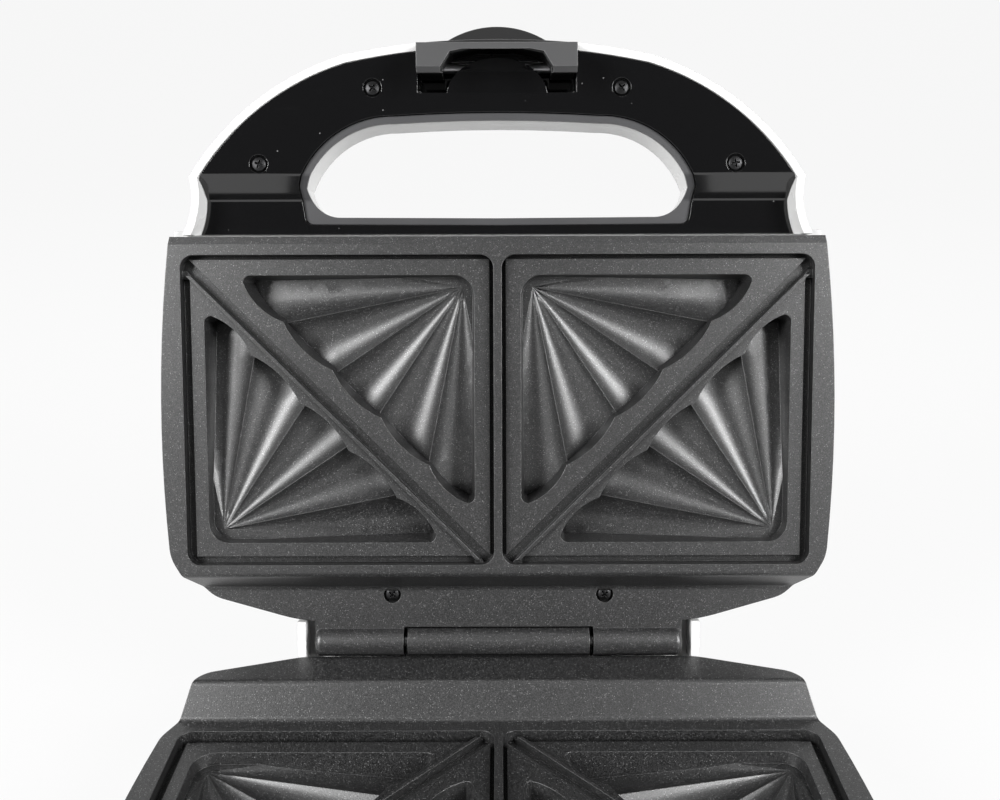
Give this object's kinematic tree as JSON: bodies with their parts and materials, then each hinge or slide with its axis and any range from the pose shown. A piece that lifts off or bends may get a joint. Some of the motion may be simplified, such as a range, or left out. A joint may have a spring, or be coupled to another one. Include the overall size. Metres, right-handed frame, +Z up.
{
  "type": "sandwich toaster",
  "caption": "Sandwich toaster standing open: hinged cast plates with scalloped triangular pockets, white housings, arched handles and a hook latch.",
  "frame": {"origin": "on the table under the middle of the open toaster's bounding box", "axes": "+Z up, +X along the hinge to the right, -Y towards the handles"},
  "size_m": [0.2304, 0.2693, 0.2685],
  "materials": {
    "housing": "smooth white moulding",
    "cover": "polished black moulding",
    "collar": "dark grey satin moulding",
    "screw": "blackened steel",
    "coated_plate": "cast plate with a speckled dark non-stick coat",
    "heater": "sheathed heating element",
    "reflector": "bright rolled sheet",
    "foot": "matt rubber",
    "gland": "matt moulded gland",
    "terminal": "pale moulded block",
    "pin": "drawn steel rod",
    "thermostat": "pressed steel can",
    "fuse": "plated can",
    "red_lens": "clear red lens",
    "green_lens": "clear green lens",
    "latch": "dark grey satin moulding"
  },
  "bodies": {
    "base": {"lower_shell": "housing", "lower_handle_cover": "cover", "lower_grip_collar": "collar", "lower_cover_screws": "screw", "lower_plate": "coated_plate", "lower_plate_screws": "screw", "lower_heater": "heater", "lower_reflector": "reflector", "feet": "foot", "cord_gland": "gland", "terminal_block": "terminal", "hinge_pin": "pin"},
    "lid": {"upper_shell": "housing", "upper_handle_cover": "cover", "upper_grip_collar": "collar", "upper_cover_screws": "screw", "upper_plate": "coated_plate", "upper_plate_screws": "screw", "upper_heater": "heater", "upper_reflector": "reflector", "thermostat": "thermostat", "thermal_fuse": "fuse", "power_lens": "red_lens", "ready_lens": "green_lens", "latch_pin": "pin"},
    "latch": {"latch": "latch"}
  },
  "joints": [
    {"name": "lid_hinge", "type": "hinge", "parent": "base", "child": "lid", "pos_m": [0, 0.07346, 0.0595], "axis": [1, 0, 0], "range_deg": [0, 105.5]},
    {"name": "latch_pivot", "type": "hinge", "parent": "lid", "child": "latch", "pos_m": [0, 0.12252, 0.2551], "axis": [-1, 0, 0], "range_deg": [-6, 12]}
  ]
}
